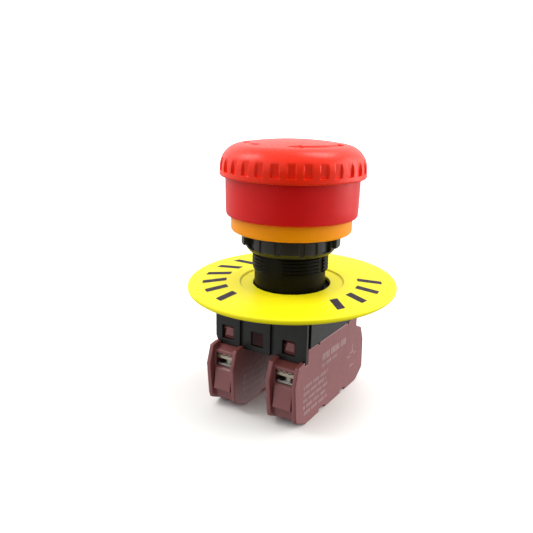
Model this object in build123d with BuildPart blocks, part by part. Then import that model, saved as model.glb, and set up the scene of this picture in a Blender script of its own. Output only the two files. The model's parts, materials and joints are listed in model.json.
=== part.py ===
from build123d import *
import os
from math import asin, cos, pi, radians, sin, sqrt

# Emergency stop button for a 22 mm panel hole: mushroom head, amber bezel, locking ring, loose
# legend plate, clip-on adapter and two normally closed contact blocks.
# Millimetres. +Z runs up the neck's axis, -Y is the side of the adapter's windows, and z = 0 is
# the surface that the contact blocks stand on.

# ---- driving dimensions -------------------------------------------------------------------------
FIT = 0.05                   # radial running clearance

NECK_R = 10.2                # smooth lower neck
THREAD_R = 10.9              # crest of the 22 mm mounting thread
BORE_R = 8.0                 # bore of the neck
NECK_BOTTOM = 27.0
ARM_SLOT_HALF = 3.4          # half width of the slots for the transfer slider's arms
ARM_SLOT_TOP = 31.2
THREAD_BOTTOM = 39.1
RELIEF_R = 10.5              # relief groove in the thread, where the locking ring stands
RELIEF_Z = (44.0, 44.9)
SEAT_Z = 50.0                # underside of the bezel, where a panel would bear
KEYWAY = -5.0                # direction of the neck's keyway, in degrees from +X

CAP_R = 20.3                 # lip of the mushroom
LIP_Z = 65.3
LIP_ROUND = 0.5
CAP_TOP = 75.15
DOME_R = 91.0                # very flat dome on top
DOME_EDGE = 15.0             # radius where the dome meets the shoulder
SHOULDER_R = 6.23
SKIRT_R = 18.7
SKIRT_BORE = 17.45
SKIRT_BOTTOM = 54.4
WEB_BOTTOM = 65.6            # web that closes the skirt
WEB_TOP = 67.4
BEZEL_R = 17.04
BEZEL_TOP = 60.4

RING_BOTTOM = 44.3
RING_TOP = 49.3
RING_R = 12.9

PLATE_R = 30.0
PLATE_HOLE_R = 11.15
PLATE_T = 1.6
PLATE_TILT = 2.46            # it lies on the adapter's front edge and the blocks' latch towers
PLATE_CENTRE = (0.45, 0.40, 35.1)
PLATE_RECESS = (15.0, 0.5)   # radius and depth of the step round the hole

ADAPTER_X = 14.7             # half width
ADAPTER_FRONT = -15.9
ADAPTER_BACK = 11.4
ADAPTER_TOP = 32.75
ADAPTER_CEILING = 31.0
SIDE_EDGE = 21.9             # lower edge of the adapter's side walls
APRON_BOTTOM = 17.9
APRON_T = 1.1
FINGER_X = (-10.5, -0.7, 9.3)
FINGER_GAPS = (-5.7, 4.2)

BLOCK_X = {"left": -9.5, "right": 10.1}
HALF_W = 4.6                 # half width of a contact block
INNER_W = 3.3                # half width between its side walls
TONGUE_TOP = 24.4
TOWER_TOP = 33.9
SCREW_Y = {"front": -15.6, "rear": 17.3}
SCREW_R = 1.7
CONTACT_Y = 6.2
BAR_BOTTOM = 28.6            # underside of the transfer slider's arms


# ---- shared shapes ------------------------------------------------------------------------------
def polar(radius, angle):
    """Point at a radius and a direction in degrees from +X."""
    return radius * cos(radians(angle)), radius * sin(radians(angle))


def turned(points, mode=Mode.ADD):
    """Revolves a closed outline of (radius, height) points about the neck's axis."""
    with BuildSketch(Plane.XZ) as section:
        with BuildLine():
            Polyline(*points, close=True)
        make_face()
    revolve(section.sketch, axis=Axis.Z, mode=mode)


def tube(r_in, r_out, z_low, z_high, mode=Mode.ADD, at=(0, 0)):
    """Disc or ring between two radii and two heights."""
    with BuildSketch(Plane.XY.offset(z_low)) as ring:
        with Locations(at):
            Circle(r_out)
            if r_in > 0:
                Circle(r_in, mode=Mode.SUBTRACT)
    extrude(ring.sketch, amount=z_high - z_low, mode=mode)


def sector(r_in, r_out, centre, half, z_low, z_high, mode=Mode.ADD):
    """Piece of a ring, half degrees to each side of its centre's direction."""
    first, last = centre - half, centre + half
    with BuildSketch(Plane.XY.offset(z_low)) as piece:
        with BuildLine():
            Line(polar(r_in, first), polar(r_out, first))
            ThreePointArc(polar(r_out, first), polar(r_out, centre), polar(r_out, last))
            Line(polar(r_out, last), polar(r_in, last))
            ThreePointArc(polar(r_in, last), polar(r_in, centre), polar(r_in, first))
        make_face()
    extrude(piece.sketch, amount=z_high - z_low, mode=mode)


def box(x, y, z, mode=Mode.ADD):
    """Box between pairs of x, y and z."""
    with BuildSketch(Plane.XY.offset(z[0])) as base:
        with Locations(((x[0] + x[1]) / 2, (y[0] + y[1]) / 2)):
            Rectangle(x[1] - x[0], y[1] - y[0])
    extrude(base.sketch, amount=z[1] - z[0], mode=mode)


def slab(points, x_low, x_high, mode=Mode.ADD):
    """Extrudes a closed outline of (y, z) points along X."""
    with BuildSketch(Plane.YZ.offset(x_low)) as outline:
        with BuildLine():
            Polyline(*points, close=True)
        make_face()
    extrude(outline.sketch, amount=x_high - x_low, mode=mode)


def coil(mean_r, wire_r, z_low, z_high, turns, at=(0, 0)):
    """Open coil spring whose wire stays between two heights."""
    height = z_high - z_low - 2 * wire_r
    with BuildLine() as path:
        Helix(pitch=height / turns, height=height, radius=mean_r, center=(*at, z_low + wire_r))
    with BuildSketch(Plane(origin=path.line @ 0, z_dir=path.line % 0)) as wire:
        Circle(wire_r)
    sweep(wire.sketch, path=path.line, is_frenet=True)


def save(piece, name):
    """Labels a finished piece and writes its file."""
    piece.part.label = name
    export_step(piece.part, f"parts/{name}.step")


os.makedirs("parts", exist_ok=True)

# ---- mushroom head: is pushed and turned --------------------------------------------------------
RIB_COUNT = 30
RIB_PHASE = -85.4            # direction of one finger recess
RECESS_FLOOR_R = 19.6
RECESS_WIDTH = 2.1
RECESS_BOTTOM = 66.9
ARROW_TIPS = (-68.0, 52.0, 172.0)
ARROW_LENGTH = 83.0          # degrees from tip to tail
ARROW_HEAD = 17.0
ARROW_R = 13.1
SHAFT_HALF = 0.8
HEAD_HALF = 1.9
ARROW_FLOOR = 73.8
CAP_SEAT = 67.5              # the cap's inner step, where it sits on the skirt
CAP_BORE = 18.75
CAP_HOLLOW = 17.2
HUB_R = 6.0
HUB_BOTTOM = 61.9
STEM_R = 3.6
STEM_TOP = 65.5
DISC_R = 6.6
DISC_BOTTOM = 49.1
DISC_TOP = 51.0
PIVOT_R = 3.0
PIVOT_BOTTOM = 43.2
CLIP_GROOVE_R = 2.4
CLIP_GROOVE_Z = (44.2, 44.8)
SCROLL = ((5.65, -2), (5.0, 22.5), (4.35, 47))     # radius and turn at the start, middle and end
SCROLL_WIDTH = 1.4
HEAD_SCREW_R = 1.45
SCREW_HEAD_Z = (WEB_TOP + 0.5, WEB_TOP + 2.3)

dome_slope = asin(DOME_EDGE / DOME_R)
dome_drop = DOME_R - sqrt(DOME_R**2 - DOME_EDGE**2)
shoulder_x = DOME_EDGE - SHOULDER_R * sin(dome_slope)
shoulder_z = CAP_TOP - dome_drop - SHOULDER_R * cos(dome_slope)
shoulder_mid = (dome_slope + pi / 2) / 2
half_edge = DOME_EDGE / 2


def arrow(tip):
    """Sketches a curved arrow that points clockwise, from the direction of its tip."""
    neck, tail = tip + ARROW_HEAD, tip + ARROW_LENGTH
    middle = (neck + tail) / 2
    r_in, r_out = ARROW_R - SHAFT_HALF, ARROW_R + SHAFT_HALF
    with BuildLine() as edges:
        Polyline(polar(r_in, neck), polar(ARROW_R - HEAD_HALF, neck), polar(ARROW_R, tip))
        Polyline(polar(ARROW_R, tip), polar(ARROW_R + HEAD_HALF, neck), polar(r_out, neck))
        ThreePointArc(polar(r_out, neck), polar(r_out, middle), polar(r_out, tail))
        Line(polar(r_out, tail), polar(r_in, tail))
        ThreePointArc(polar(r_in, tail), polar(r_in, middle), polar(r_in, neck))
    make_face(edges.edges())


with BuildPart() as button_cap:
    with BuildSketch(Plane.XZ):
        with BuildLine():
            Polyline(
                (0, CAP_TOP),
                (0, 73.2),
                (14.0, 72.2),
                (CAP_HOLLOW, 70.4),
                (CAP_HOLLOW, CAP_SEAT),
                (CAP_BORE, CAP_SEAT),
                (CAP_BORE, LIP_Z),
                (CAP_R - LIP_ROUND, LIP_Z),
                (CAP_R, LIP_Z + LIP_ROUND),
                (shoulder_x + SHOULDER_R, shoulder_z),
            )
            ThreePointArc(
                (shoulder_x + SHOULDER_R, shoulder_z),
                (shoulder_x + SHOULDER_R * sin(shoulder_mid), shoulder_z + SHOULDER_R * cos(shoulder_mid)),
                (DOME_EDGE, CAP_TOP - dome_drop),
            )
            ThreePointArc(
                (DOME_EDGE, CAP_TOP - dome_drop),
                (half_edge, CAP_TOP - DOME_R + sqrt(DOME_R**2 - half_edge**2)),
                (0, CAP_TOP),
            )
        make_face()
    revolve(axis=Axis.Z)
    with BuildSketch(Plane.XY.offset(RECESS_BOTTOM)):
        with PolarLocations(RECESS_FLOOR_R + 1, RIB_COUNT, start_angle=RIB_PHASE):
            Rectangle(2, RECESS_WIDTH)
    extrude(amount=6, mode=Mode.SUBTRACT)
    with BuildSketch(Plane.XY.offset(ARROW_FLOOR)):
        for tip_direction in ARROW_TIPS:
            arrow(tip_direction)
    extrude(amount=3, mode=Mode.SUBTRACT)
save(button_cap, "button_cap")

with BuildPart() as button_skirt:
    turned(
        [
            (STEM_R + FIT, HUB_BOTTOM),
            (HUB_R, HUB_BOTTOM),
            (HUB_R, WEB_BOTTOM),
            (SKIRT_BORE, WEB_BOTTOM),
            (SKIRT_BORE, SKIRT_BOTTOM),
            (18.0, SKIRT_BOTTOM),
            (18.5, SKIRT_BOTTOM + 1.0),
            (SKIRT_R, LIP_Z),
            (SKIRT_R, WEB_TOP),
            (HEAD_SCREW_R + FIT, WEB_TOP),
            (HEAD_SCREW_R + FIT, STEM_TOP + FIT),
            (STEM_R + FIT, STEM_TOP + FIT),
        ]
    )
save(button_skirt, "button_skirt")

with BuildPart() as turn_stem:
    tube(0, PIVOT_R, PIVOT_BOTTOM, DISC_BOTTOM)
    tube(CLIP_GROOVE_R, PIVOT_R + 1, *CLIP_GROOVE_Z, mode=Mode.SUBTRACT)
    tube(0, DISC_R, DISC_BOTTOM, DISC_TOP)
    tube(0, STEM_R, DISC_TOP, STEM_TOP)
    box((3.1, 4.0), (-4, 4), (62.0, STEM_TOP), mode=Mode.SUBTRACT)
    tube(0, HEAD_SCREW_R, 56.0, STEM_TOP, mode=Mode.SUBTRACT)
    # two scroll slots under the disc draw the latches inwards as the head is turned
    with BuildSketch(Plane.XY.offset(DISC_BOTTOM)):
        for latch_side in (90, 270):
            with BuildLine() as scroll:
                ThreePointArc(*[polar(radius, latch_side + turn) for radius, turn in SCROLL])
            SlotArc(scroll.edge(), height=SCROLL_WIDTH)
    extrude(amount=1.25, mode=Mode.SUBTRACT)
save(turn_stem, "turn_stem")

with BuildPart() as stem_clip:
    tube(CLIP_GROOVE_R + FIT, 4.6, CLIP_GROOVE_Z[0] + FIT, CLIP_GROOVE_Z[1] - FIT)
    box((0, 5), (-2.0, 2.0), (44, 45), mode=Mode.SUBTRACT)
save(stem_clip, "stem_clip")

with BuildPart() as screw_washer:
    tube(HEAD_SCREW_R + FIT, 3.4, WEB_TOP, SCREW_HEAD_Z[0])
save(screw_washer, "screw_washer")

with BuildPart() as head_screw:
    tube(0, HEAD_SCREW_R, 57.5, SCREW_HEAD_Z[0])
    tube(0, 2.8, *SCREW_HEAD_Z)
    fillet(head_screw.faces().sort_by(Axis.Z)[-1].edges(), 0.6)
    with BuildSketch(Plane.XY.offset(SCREW_HEAD_Z[1])):
        Rectangle(3.6, 0.7)
        Rectangle(0.7, 3.6)
    extrude(amount=-1.1, mode=Mode.SUBTRACT)
save(head_screw, "head_screw")

# ---- push plunger: slides in the neck without turning -------------------------------------------
PLUNGER_BOTTOM = 34.0
PLUNGER_TOP = 61.5
PLUNGER_HOLLOW = 6.0
FLANGE_R = 9.85
FLANGE_BOTTOM = 60.0
CAVITY_R = 6.8
GUIDE_X = (7.0, 8.95)        # guide slots in the neck, for the plunger's two ribs
GUIDE_HALF = 1.1
LID_BOTTOM = 59.3
LATCH_Z = (47.05, 48.95)
LATCH_PEG_R = 5.6
RIB_TOP = 41.0

with BuildPart() as push_plunger:
    turned(
        [
            (PLUNGER_HOLLOW, PLUNGER_BOTTOM),
            (BORE_R - FIT, PLUNGER_BOTTOM),
            (BORE_R - FIT, FLANGE_BOTTOM),
            (FLANGE_R, FLANGE_BOTTOM),
            (FLANGE_R, PLUNGER_TOP),
            (CAVITY_R, PLUNGER_TOP),
            (CAVITY_R, DISC_BOTTOM - FIT),
            (PIVOT_R + FIT, DISC_BOTTOM - FIT),
            (PIVOT_R + FIT, 45.0),
            (PLUNGER_HOLLOW, 45.0),
        ]
    )
    for rib_side in (-1, 1):
        rib_x = sorted((rib_side * 7.5, rib_side * (GUIDE_X[1] - 0.1)))
        box(rib_x, (0.1 - GUIDE_HALF, GUIDE_HALF - 0.1), (36.0, RIB_TOP))
    box((-1.55, 1.55), (-9, 9), (47.0, DISC_BOTTOM), mode=Mode.SUBTRACT)
save(push_plunger, "push_plunger")

with BuildPart() as plunger_lid:
    tube(STEM_R + FIT, CAVITY_R - 0.02, LID_BOTTOM, PLUNGER_TOP)
save(plunger_lid, "plunger_lid")

with BuildPart() as reset_spring:
    coil(5.2, 0.45, DISC_TOP + 0.1, LID_BOTTOM - 0.1, 5)
save(reset_spring, "reset_spring")

for latch_name, latch_way in (("latch_front", -1), ("latch_rear", 1)):
    with BuildPart() as latch:
        reach = sorted((4.4 * latch_way, 8.8 * latch_way))
        box((-1.5, 1.5), reach, LATCH_Z)
        tube(0, 0.6, LATCH_Z[1], 50.2, at=(0, LATCH_PEG_R * latch_way))
    save(latch, latch_name)

# ---- operator body: threaded neck that passes through the panel ---------------------------------
BODY_FLANGE_Z = 51.5            # underside of the body's flange, which sits on the bezel's inner lip
BODY_FLANGE_R = 15.1
GROOVE_R = 9.0               # seal groove and latch groove in the bore
COLLAR_R = 11.5
COUNTERBORE_R = 10.0
COUNTERBORE_Z = 52.5
LATCH_GROOVE = (42.6, 49.4)
SEAL_Z = 51.0

with BuildPart() as operator_body:
    turned(
        [
            (BORE_R, NECK_BOTTOM),
            (NECK_R, NECK_BOTTOM),
            (NECK_R, THREAD_BOTTOM),
            (THREAD_R, THREAD_BOTTOM),
            (THREAD_R, RELIEF_Z[0]),
            (RELIEF_R, RELIEF_Z[0]),
            (RELIEF_R, RELIEF_Z[1]),
            (THREAD_R, RELIEF_Z[1]),
            (THREAD_R, BODY_FLANGE_Z),
            (BODY_FLANGE_R, BODY_FLANGE_Z),
            (BODY_FLANGE_R, 53.5),
            (COLLAR_R, 54.5),
            (COLLAR_R, BEZEL_TOP + 0.2),
            (COUNTERBORE_R, BEZEL_TOP + 0.2),
            (COUNTERBORE_R, COUNTERBORE_Z),
            (BORE_R, COUNTERBORE_Z),
            (BORE_R, SEAL_Z + 0.7),
            (GROOVE_R, SEAL_Z + 0.7),
            (GROOVE_R, SEAL_Z - 0.7),
            (BORE_R, SEAL_Z - 0.7),
            (BORE_R, LATCH_GROOVE[1]),
            (GROOVE_R, LATCH_GROOVE[1]),
            (GROOVE_R, LATCH_GROOVE[0]),
            (BORE_R, LATCH_GROOVE[0]),
        ]
    )
    # guide slots for the plunger's two ribs, closed at the top as its stop
    for slot_side in (-1, 1):
        slot_x = sorted((slot_side * GUIDE_X[0], slot_side * GUIDE_X[1]))
        box(slot_x, (-GUIDE_HALF, GUIDE_HALF), (NECK_BOTTOM, RIB_TOP + FIT), mode=Mode.SUBTRACT)
    # open slots that let the transfer slider's arms pass
    box((-12, 12), (-ARM_SLOT_HALF, ARM_SLOT_HALF), (NECK_BOTTOM, ARM_SLOT_TOP), mode=Mode.SUBTRACT)
    # flat on the thread's front, and the keyway for the tongued washer
    box((-4, 4), (-12, -10.55), (THREAD_BOTTOM, SEAT_Z), mode=Mode.SUBTRACT)
    with BuildSketch(Plane.XY.offset(THREAD_BOTTOM)):
        with Locations(Location((*polar(11.0, KEYWAY), 0), (0, 0, KEYWAY))):
            Rectangle(1.8, 2.4)
    extrude(amount=SEAT_Z - THREAD_BOTTOM, mode=Mode.SUBTRACT)
save(operator_body, "operator_body")

with BuildPart() as bezel_ring:
    turned(
        [
            (THREAD_R + 0.02, SEAT_Z + 0.5),
            (14.6, SEAT_Z + 0.5),
            (14.6, SEAT_Z),
            (BEZEL_R - 0.6, SEAT_Z),
            (BEZEL_R, SEAT_Z + 0.6),
            (BEZEL_R, BEZEL_TOP),
            (15.6, BEZEL_TOP),
            (15.6, 54.0),
            (BODY_FLANGE_R, 53.5),
            (BODY_FLANGE_R, BODY_FLANGE_Z),
            (THREAD_R + 0.02, BODY_FLANGE_Z),
        ]
    )
save(bezel_ring, "bezel_ring")

with BuildPart() as panel_gasket:
    tube(THREAD_R + 0.02, 14.5, SEAT_Z - 0.15, SEAT_Z + 0.5)
save(panel_gasket, "panel_gasket")

with BuildPart() as return_spring:
    coil(8.98, 0.45, COUNTERBORE_Z + 0.03, FLANGE_BOTTOM - 0.03, 3)
save(return_spring, "return_spring")

with BuildPart() as stem_seal:
    with BuildSketch(Plane.XZ):
        with Locations((8.49, SEAL_Z)):
            Circle(0.5)
    revolve(axis=Axis.Z)
save(stem_seal, "stem_seal")

# ---- locking ring and its tongued washer --------------------------------------------------------
WASHER_Z = (49.4, 49.8)
LUG_R = 14.05
LUG_DIRECTIONS = (29.5, 209.5)
NOTCH_DIRECTIONS = (-119.5, -10.5, 60.5, 169.5)
NOTCH_R = 11.9
NOTCH_HALF = 8.5
NOTCH_Z = (45.5, 48.6)
FLUTE_DIRECTIONS = (-98, -76.5, -46.5, -30, 82, 103.5, 133.5, 150)
FLUTE_DEPTH = 0.4
FLUTE_HALF = 3.2
FLUTE_Z = (45.0, 48.9)

with BuildPart() as ring_washer:
    tube(THREAD_R + FIT, 12.4, *WASHER_Z)
    with BuildSketch(Plane.XY.offset(WASHER_Z[0])):
        with Locations(Location((*polar(10.9, KEYWAY), 0), (0, 0, KEYWAY))):
            Rectangle(1.4, 2.1)
    extrude(amount=WASHER_Z[1] - WASHER_Z[0])
save(ring_washer, "ring_washer")

with BuildPart() as locking_ring:
    turned(
        [
            (THREAD_R + FIT, RING_BOTTOM + 0.3),
            (THREAD_R + 0.35, RING_BOTTOM),
            (NOTCH_R, RING_BOTTOM),
            (RING_R, RING_BOTTOM + 1.3),
            (RING_R, RING_TOP),
            (THREAD_R + FIT, RING_TOP),
        ]
    )
    for lug_direction in LUG_DIRECTIONS:
        sector(12.5, LUG_R, lug_direction, 27, 46.3, RING_TOP)
    for notch_direction in NOTCH_DIRECTIONS:
        sector(NOTCH_R, LUG_R + 1, notch_direction, NOTCH_HALF, *NOTCH_Z, mode=Mode.SUBTRACT)
    for flute_direction in FLUTE_DIRECTIONS:
        sector(RING_R - FLUTE_DEPTH, LUG_R + 1, flute_direction, FLUTE_HALF, *FLUTE_Z, mode=Mode.SUBTRACT)
save(locking_ring, "locking_ring")

# ---- legend plate: loose on the neck ------------------------------------------------------------
tilt = radians(PLATE_TILT)
plate_plane = Plane(origin=PLATE_CENTRE, x_dir=(1, 0, 0), z_dir=(0, -sin(tilt), cos(tilt)))

with BuildPart() as legend_plate:
    with BuildSketch(plate_plane):
        Circle(PLATE_R)
        Circle(PLATE_HOLE_R, mode=Mode.SUBTRACT)
    extrude(amount=-PLATE_T)
    fillet(legend_plate.edges().filter_by(GeomType.CIRCLE).group_by(SortBy.RADIUS)[-1], 0.5)
    with BuildSketch(plate_plane):
        Circle(PLATE_RECESS[0])
    extrude(amount=-PLATE_RECESS[1], mode=Mode.SUBTRACT)
save(legend_plate, "legend_plate")

# ---- adapter that joins the contact blocks to the neck ------------------------------------------
APRON_BACK = ADAPTER_FRONT + APRON_T
SIDE_FRONT = -13.4           # the side walls stop short of the apron, which can flex
SIDE_T = 1.4
WINDOW_HALF = 1.95
WINDOW_Z = (19.5, 23.6)
GAP_HALF = 0.7
GAP_DEPTH = 0.7              # grooves between the fingers leave a thin web
SOCKET_R = 11.7

with BuildPart() as mounting_adapter:
    box((-ADAPTER_X, ADAPTER_X), (ADAPTER_FRONT, ADAPTER_BACK), (ADAPTER_CEILING, ADAPTER_TOP))
    fillet(mounting_adapter.edges().filter_by(Axis.Z).sort_by(Axis.Y)[-2:], 1.0)
    tube(0, SOCKET_R, NECK_BOTTOM, ADAPTER_CEILING)
    for side in (-1, 1):
        wall_x = sorted((side * (ADAPTER_X - SIDE_T), side * ADAPTER_X))
        box(wall_x, (SIDE_FRONT, ADAPTER_BACK - 1), (SIDE_EDGE, ADAPTER_CEILING))
    box((-ADAPTER_X, ADAPTER_X), (ADAPTER_BACK - SIDE_T, ADAPTER_BACK), (SIDE_EDGE, ADAPTER_CEILING))
    tube(0, NECK_R + FIT, SIDE_EDGE, ADAPTER_TOP, mode=Mode.SUBTRACT)
    box((-13, 13), (-ARM_SLOT_HALF, ARM_SLOT_HALF), (NECK_BOTTOM, ADAPTER_CEILING), mode=Mode.SUBTRACT)
    # front apron: three spring fingers, each with a window for a block's hook
    with BuildSketch(Plane.XZ.offset(-APRON_BACK)):
        with BuildLine():
            Polyline(
                (-ADAPTER_X, ADAPTER_CEILING),
                (-ADAPTER_X, APRON_BOTTOM + 2),
                (-ADAPTER_X + 0.6, APRON_BOTTOM + 0.6),
                (-ADAPTER_X + 2, APRON_BOTTOM),
                (ADAPTER_X, APRON_BOTTOM),
                (ADAPTER_X, ADAPTER_CEILING),
                close=True,
            )
        make_face()
        with Locations(*[(x, (WINDOW_Z[0] + WINDOW_Z[1]) / 2) for x in FINGER_X]):
            Rectangle(2 * WINDOW_HALF, WINDOW_Z[1] - WINDOW_Z[0], mode=Mode.SUBTRACT)
    extrude(amount=APRON_T)
    for gap_x in FINGER_GAPS:
        groove_x = (gap_x - GAP_HALF, gap_x + GAP_HALF)
        groove_y = (ADAPTER_FRONT, ADAPTER_FRONT + GAP_DEPTH)
        box(groove_x, groove_y, (APRON_BOTTOM, ADAPTER_CEILING), mode=Mode.SUBTRACT)
save(mounting_adapter, "mounting_adapter")

with BuildPart() as transfer_slider:
    box((-12.5, 12.5), (-3.0, 3.0), (BAR_BOTTOM, 30.6))
    tube(0, BORE_R - 0.5, 30.6, PLUNGER_BOTTOM - FIT)
    tube(0, 5.5, 32.0, PLUNGER_BOTTOM, mode=Mode.SUBTRACT)
save(transfer_slider, "transfer_slider")

# ---- contact blocks -----------------------------------------------------------------------------
SIDE_OUTLINE = [
    (-14.7, 0),
    (-19.8, 2.4),
    (-20.3, 4.1),
    (-21.2, 13.4),
    (-19.6, 18.4),
    (-17.2, 18.8),
    (-16.1, 18.8),
    (-16.1, 17.8),
    (-14.6, 17.8),
    (-14.6, 21.85),
    (11.9, 21.85),
    (11.9, TOWER_TOP - 0.3),
    (16.7, TOWER_TOP - 0.3),
    (16.7, 18.6),
    (18.2, 18.3),
    (20.5, 17.2),
    (22.4, 12.8),
    (22.9, 3.1),
    (20.7, 1.5),
    (17.8, 0),
]
CORE_OUTLINE = [
    (-14.7, 0),
    (-18.7, 2.4),
    (-19.3, 5.2),
    (-19.0, 12.1),
    (-18.7, 17.0),
    (-16.6, 17.75),
    (-14.6, 17.75),
    (-14.6, 21.85),
    (11.9, 21.85),
    (13.0, 18.6),
    (18.2, 17.6),
    (20.2, 16.3),
    (21.3, 12.8),
    (21.5, 3.8),
    (20.1, 1.9),
    (17.8, 0),
]
HOOK_SIDES = (1.3, 1.7)      # how far the hook reaches to the left and right of its window's middle
HOOK_SLANT = 1.0
HOOK_OUTLINE = [(-13.9, 20.0), (-15.0, 20.0), (-15.5, 20.5), (-15.5, 23.0), (-13.9, 23.4)]
FRONT_PANEL = [(-18.9, 5.4), (-20.3, 5.6), (-19.5, 11.7), (-18.9, 12.1)]
CHAMBERS = {"front": (-18.6, -12.6), "rear": (14.3, 20.3)}
CAVITY_Y = (-11.4, 13.1)
CAVITY_Z = (1.5, 21.0)
CHAMBER_Z = (9.1, 16.4)
OPENING_Z = (12.3, 16.1)
STRIP_Z = (14.6, 15.4)
FOOT_GAPS = ((-6.7, -3.2), (7.1, 10.2))
BUTTON_HALF = 1.5
BUTTON_TOP = BAR_BOTTOM - FIT
BRIDGE_Z = (12.8, 13.55)
TIP_R = 1.0
TIP_T = 0.55
TIP_GAP = 0.05
PLUNGER_BASE = 8.6
POCKET_Z = (9.6, 13.6)       # window in the plunger for the bridge and its spring
HEAD_R = 2.7
HEAD_Z = (9.6, 12.1)
SHANK_TOP = 14.9
CLAMP_TOP = 12.8
CROSS_HALF = (1.9, 0.4)      # half length and half width of each arm of the screw's cross
CROSS_DEPTH = 1.1


def cut_feet(x):
    """Two shallow notches in a wall's lower edge."""
    for gap in FOOT_GAPS:
        box(x, gap, (0, 0.9), mode=Mode.SUBTRACT)


def side_wall(x):
    """One of a block's outer walls, with two small V notches in its upper edge."""
    slab(SIDE_OUTLINE, *x)
    for notch_y in (-8.2, 10.6):
        slab([(notch_y - 0.6, 22), (notch_y + 0.6, 22), (notch_y, 20.9)], *x, mode=Mode.SUBTRACT)


def make_housing(name, centre, window):
    """Left wall and core with the contact cavity, the screw terminals' chambers and the hook."""
    wall, inner = centre - INNER_W, centre + INNER_W
    with BuildPart() as housing:
        side_wall((centre - HALF_W, wall))
        slab(CORE_OUTLINE, wall, inner)
        slab(FRONT_PANEL, centre - 2.8, centre + 2.8)
        slab(HOOK_OUTLINE, window - HOOK_SIDES[0], window + HOOK_SIDES[1])
        with BuildSketch(Plane.XZ.offset(14.0)):
            with BuildLine():
                Polyline(
                    (window - HOOK_SIDES[0], 20.4),
                    (window - HOOK_SIDES[0], 24.0),
                    (window - HOOK_SIDES[0] + HOOK_SLANT, 24.0),
                    close=True,
                )
            make_face()
        extrude(amount=2, mode=Mode.SUBTRACT)
        box((wall, centre + 3.1), (-13.9, 9.8), (21.0, TONGUE_TOP))
        box((wall, inner), (11.9, 16.7), (17.5, TOWER_TOP))
        box((wall, inner), CAVITY_Y, CAVITY_Z, mode=Mode.SUBTRACT)
        box((centre - 1.6, inner), (-13, 15), (STRIP_Z[0] - FIT, STRIP_Z[1] + FIT), mode=Mode.SUBTRACT)
        for end, reach in CHAMBERS.items():
            outside = (-23, reach[0]) if end == "front" else (reach[1], 24)
            box((wall, inner), reach, CHAMBER_Z, mode=Mode.SUBTRACT)
            box((centre - 2.9, centre + 2.9), outside, OPENING_Z, mode=Mode.SUBTRACT)
            tube(0, 2.9, 0, CHAMBER_Z[0], mode=Mode.SUBTRACT, at=(centre, SCREW_Y[end]))
        hole = BUTTON_HALF + FIT
        box((centre - hole, centre + hole), (-hole, hole), (20, 25), mode=Mode.SUBTRACT)
        cut_feet((centre - HALF_W, wall))
    save(housing, name)


def make_cover(name, centre):
    """Right wall that closes a block after assembly."""
    with BuildPart() as cover:
        side_wall((centre + INNER_W, centre + HALF_W))
        cut_feet((centre + INNER_W, centre + HALF_W))
    save(cover, name)


def make_contacts(block, centre):
    """Plunger with its bridge, contact tips and springs."""
    with BuildPart() as plunger:
        shoulder = CAVITY_Z[1] - 0.1
        button_x = (centre - BUTTON_HALF, centre + BUTTON_HALF)
        box((centre - 3.0, centre + 3.0), (-2.2, 2.2), (PLUNGER_BASE, shoulder))
        box(button_x, (-BUTTON_HALF, BUTTON_HALF), (shoulder, BUTTON_TOP))
        box((centre - 1.6, centre + 1.6), (-3, 3), POCKET_Z, mode=Mode.SUBTRACT)
    save(plunger, f"{block}_plunger")
    with BuildPart() as bridge:
        box((centre - 1.5, centre + 1.5), (-7.4, 7.4), BRIDGE_Z)
    save(bridge, f"{block}_bridge")
    tip_top = BRIDGE_Z[1] + TIP_T
    with BuildPart() as moving_tips:
        for tip_y in (-CONTACT_Y, CONTACT_Y):
            tube(0, TIP_R, BRIDGE_Z[1], tip_top, at=(centre, tip_y))
    save(moving_tips, f"{block}_moving_tips")
    with BuildPart() as fixed_tips:
        for tip_y in (-CONTACT_Y, CONTACT_Y):
            tube(0, TIP_R, tip_top + TIP_GAP, STRIP_Z[0], at=(centre, tip_y))
    save(fixed_tips, f"{block}_fixed_tips")
    with BuildPart() as contact_spring:
        coil(1.2, 0.2, POCKET_Z[0] + 0.02, BRIDGE_Z[0] - 0.02, 5, at=(centre, 0))
    save(contact_spring, f"{block}_contact_spring")
    with BuildPart() as block_spring:
        coil(1.9, 0.25, CAVITY_Z[0] + 0.02, PLUNGER_BASE - 0.02, 6, at=(centre, 0))
    save(block_spring, f"{block}_return_spring")


def make_terminal(block, centre, end):
    """Contact strip with its screw and wire clamp."""
    low, high = CHAMBERS[end]
    screw_at = (centre, SCREW_Y[end])
    tail = (low + 5.9, -4.6) if end == "front" else (4.6, high - 5.9)
    with BuildPart() as terminal:
        box((centre - 2.9, centre + 2.9), (low + 0.1, high - 0.1), STRIP_Z)
        box((centre - 1.5, centre + 1.5), tail, STRIP_Z)
        tube(0, SCREW_R + FIT, *STRIP_Z, mode=Mode.SUBTRACT, at=screw_at)
    save(terminal, f"{block}_terminal_{end}")
    with BuildPart() as clamp:
        box((centre - 2.8, centre + 2.8), (low + 0.2, high - 0.2), (HEAD_Z[1] + FIT, CLAMP_TOP))
        tube(0, SCREW_R + FIT, HEAD_Z[1], CLAMP_TOP, mode=Mode.SUBTRACT, at=screw_at)
    save(clamp, f"{block}_clamp_{end}")
    with BuildPart() as screw:
        tube(0, HEAD_R, *HEAD_Z, at=screw_at)
        tube(0, SCREW_R, HEAD_Z[1], SHANK_TOP, at=screw_at)
        with BuildSketch(Plane.XY.offset(HEAD_Z[0])):
            with Locations(screw_at):
                Rectangle(2 * CROSS_HALF[0], 2 * CROSS_HALF[1])
                Rectangle(2 * CROSS_HALF[1], 2 * CROSS_HALF[0])
        extrude(amount=CROSS_DEPTH, mode=Mode.SUBTRACT)
    save(screw, f"{block}_screw_{end}")


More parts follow.
